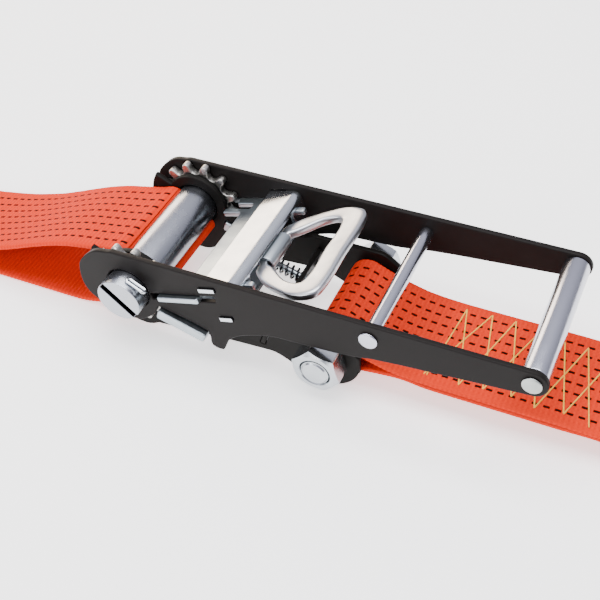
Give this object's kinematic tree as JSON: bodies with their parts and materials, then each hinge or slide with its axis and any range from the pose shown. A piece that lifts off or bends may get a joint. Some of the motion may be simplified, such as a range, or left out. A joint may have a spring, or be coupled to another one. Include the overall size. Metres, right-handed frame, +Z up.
{
  "type": "ratchet band clamp",
  "caption": "Ratchet buckle with a long two-plate handle, a slotted winding shaft between toothed gears, sliding pawls, a release bail and flat webbing legs with sewn eyes.",
  "frame": {"origin": "under the middle of the bounding box, on the surface that the clamp lies on", "axes": "+X along the webbing from the winding shaft towards the handle's grip, +Z up, Y across the webbing"},
  "size_m": [0.432, 0.087, 0.0502],
  "materials": {
    "handle_paint": "satin dark grey-brown paint",
    "frame_paint": "satin black paint",
    "bolt_zinc": "zinc plated, forged",
    "pawl_zinc": "zinc plated, stamped",
    "bright_zinc": "bright zinc plating",
    "shaft_zinc": "zinc plated, drawn bar",
    "gear_steel": "zinc plated, blanked teeth",
    "grip_zinc": "smooth zinc plating",
    "rivet_zinc": "zinc plated, hammered ends",
    "bail_zinc": "zinc plated casting",
    "spring_steel": "drawn spring wire",
    "webbing": "woven polyester webbing"
  },
  "bodies": {
    "frame": {"frame_plate_near": "frame_paint", "frame_plate_far": "frame_paint", "frame_bolt": "bolt_zinc", "frame_nut": "bolt_zinc", "spring_bridge": "frame_paint", "base_pawl_spring_near": "spring_steel", "base_pawl_spring_far": "spring_steel", "band_load_leg": "webbing", "band_tail": "webbing", "band_fixed_leg": "webbing"},
    "base_pawl": {"base_pawl": "pawl_zinc"},
    "spindle": {"half_shaft_upper": "shaft_zinc", "half_shaft_lower": "shaft_zinc", "gear_near": "gear_steel", "gear_far": "gear_steel", "split_pin_near": "bright_zinc", "split_pin_far": "bright_zinc", "band_core": "webbing"},
    "handle": {"handle_plate_near": "handle_paint", "handle_plate_far": "handle_paint", "grip_tube": "grip_zinc", "grip_rod": "rivet_zinc", "middle_rod": "grip_zinc", "handle_bracket": "bright_zinc", "pull_spring_near": "spring_steel", "pull_spring_far": "spring_steel"},
    "pull_plate": {"pull_plate": "pawl_zinc", "release_bail": "bail_zinc"}
  },
  "joints": [
    {"name": "handle_swing", "type": "hinge", "parent": "frame", "child": "handle", "pos_m": [-0.01501, 0, 0.02962], "axis": [0, -1, 0], "range_deg": [0, 180], "deforming": ["band_tail"]},
    {"name": "spindle_spin", "type": "hinge", "parent": "frame", "child": "spindle", "pos_m": [-0.01501, 0, 0.02962], "axis": [0, -1, 0], "continuous": true},
    {"name": "base_pawl_slide", "type": "slide", "parent": "frame", "child": "base_pawl", "axis": [0.9537, 0, -0.3007], "range_m": [0, 0.0115], "deforming": ["base_pawl_spring_near", "base_pawl_spring_far"]},
    {"name": "pull_plate_slide", "type": "slide", "parent": "handle", "child": "pull_plate", "axis": [0.9613, 0, 0.2756], "range_m": [-0.0041, 0.007], "stiffness_N_per_m": 1500, "deforming": ["pull_spring_near", "pull_spring_far"]}
  ],
  "couplings": [
    {"joint": "base_pawl_slide", "follows": "handle_swing", "m_per_rad": 0.00366}
  ]
}
